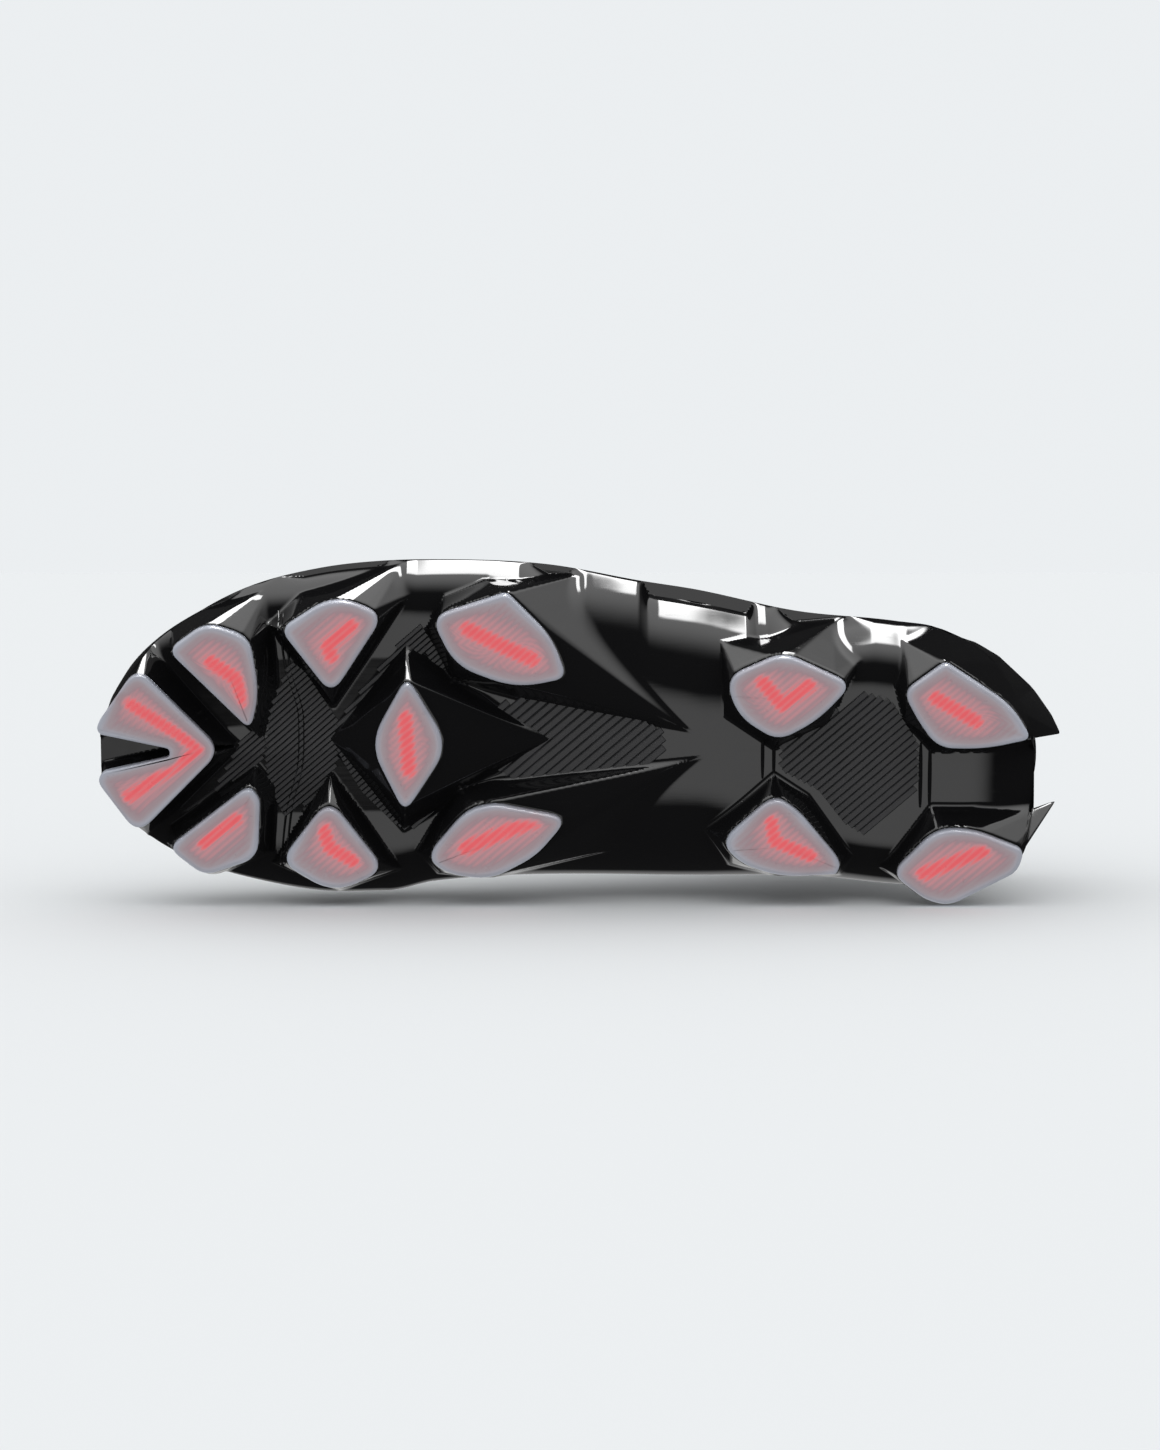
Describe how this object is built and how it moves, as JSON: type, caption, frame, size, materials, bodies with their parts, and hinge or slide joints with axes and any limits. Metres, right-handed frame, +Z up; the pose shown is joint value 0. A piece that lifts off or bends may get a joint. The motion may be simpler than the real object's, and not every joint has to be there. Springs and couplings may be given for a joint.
{
  "type": "soccer cleat",
  "caption": "Left firm-ground football boot: moulded plate with faceted studs and translucent tips, under a slip-on knit upper with lining, sockliner and pull tabs.",
  "frame": {"origin": "on the ground plane that the stud tips stand on, under the middle of the bounding box", "axes": "+X to the toe, +Y to the outer (lateral) side of this left boot, +Z up"},
  "size_m": [0.2916, 0.105, 0.1225],
  "materials": {
    "plate_black": "moulded, high gloss",
    "stud_translucent": "milky translucent, satin",
    "stud_core_red": "moulded, slanting ribs",
    "board": "fibre board",
    "shank_nylon": "glass filled nylon strip",
    "foam_grey": "closed-cell foam",
    "sockliner_cloth": "brushed knit cover",
    "upper_black": "coated knit",
    "knit_black": "elastic rib knit",
    "binding_black": "folded tape",
    "lining_grey": "thin mesh lining",
    "stiffener": "thermoformed sheet",
    "film_gloss": "hot-melt film",
    "fin_rubber": "moulded rubber",
    "webbing": "woven tape"
  },
  "bodies": {
    "boot": {"outsole_plate": "plate_black", "stud_tip_toe": "stud_translucent", "stud_tip_fore_lateral_1": "stud_translucent", "stud_tip_fore_lateral_2": "stud_translucent", "stud_tip_fore_lateral_3": "stud_translucent", "stud_tip_fore_medial_1": "stud_translucent", "stud_tip_fore_medial_2": "stud_translucent", "stud_tip_fore_medial_3": "stud_translucent", "stud_tip_fore_center": "stud_translucent", "stud_tip_heel_lateral_1": "stud_translucent", "stud_tip_heel_lateral_2": "stud_translucent", "stud_tip_heel_medial_1": "stud_translucent", "stud_tip_heel_medial_2": "stud_translucent", "stud_core_toe": "stud_core_red", "stud_core_fore_lateral_1": "stud_core_red", "stud_core_fore_lateral_2": "stud_core_red", "stud_core_fore_lateral_3": "stud_core_red", "stud_core_fore_medial_1": "stud_core_red", "stud_core_fore_medial_2": "stud_core_red", "stud_core_fore_medial_3": "stud_core_red", "stud_core_fore_center": "stud_core_red", "stud_core_heel_lateral_1": "stud_core_red", "stud_core_heel_lateral_2": "stud_core_red", "stud_core_heel_medial_1": "stud_core_red", "stud_core_heel_medial_2": "stud_core_red", "lasting_board": "board", "shank": "shank_nylon", "upper_vamp": "upper_black", "upper_quarter_lateral": "upper_black", "upper_quarter_medial": "upper_black", "throat_gusset": "knit_black", "collar_cuff": "knit_black", "collar_binding": "binding_black", "bootie_lining": "lining_grey", "toe_puff": "stiffener", "heel_counter": "stiffener", "collar_pad_lateral": "foam_grey", "collar_pad_medial": "foam_grey", "toe_guard": "film_gloss", "heel_seam_tape": "film_gloss", "grip_fins": "fin_rubber"},
    "sockliner": {"sockliner_foam": "foam_grey", "sockliner_cover": "sockliner_cloth"},
    "heel_loop": {"heel_pull_loop": "webbing"},
    "front_tab": {"front_pull_tab": "webbing"}
  },
  "joints": [
    {"name": "sockliner_lift", "type": "hinge", "parent": "boot", "child": "sockliner", "pos_m": [0.134, -0.002, 0.0235], "axis": [0, 1, 0], "range_deg": [0, 4]},
    {"name": "heel_loop_swing", "type": "hinge", "parent": "boot", "child": "heel_loop", "pos_m": [-0.13445, -0.013, 0.081], "axis": [0, -1, 0], "range_deg": [0, 100]},
    {"name": "front_tab_swing", "type": "hinge", "parent": "boot", "child": "front_tab", "pos_m": [-0.03785, -0.012, 0.1025], "axis": [0, 1, 0], "range_deg": [0, 75]}
  ]
}
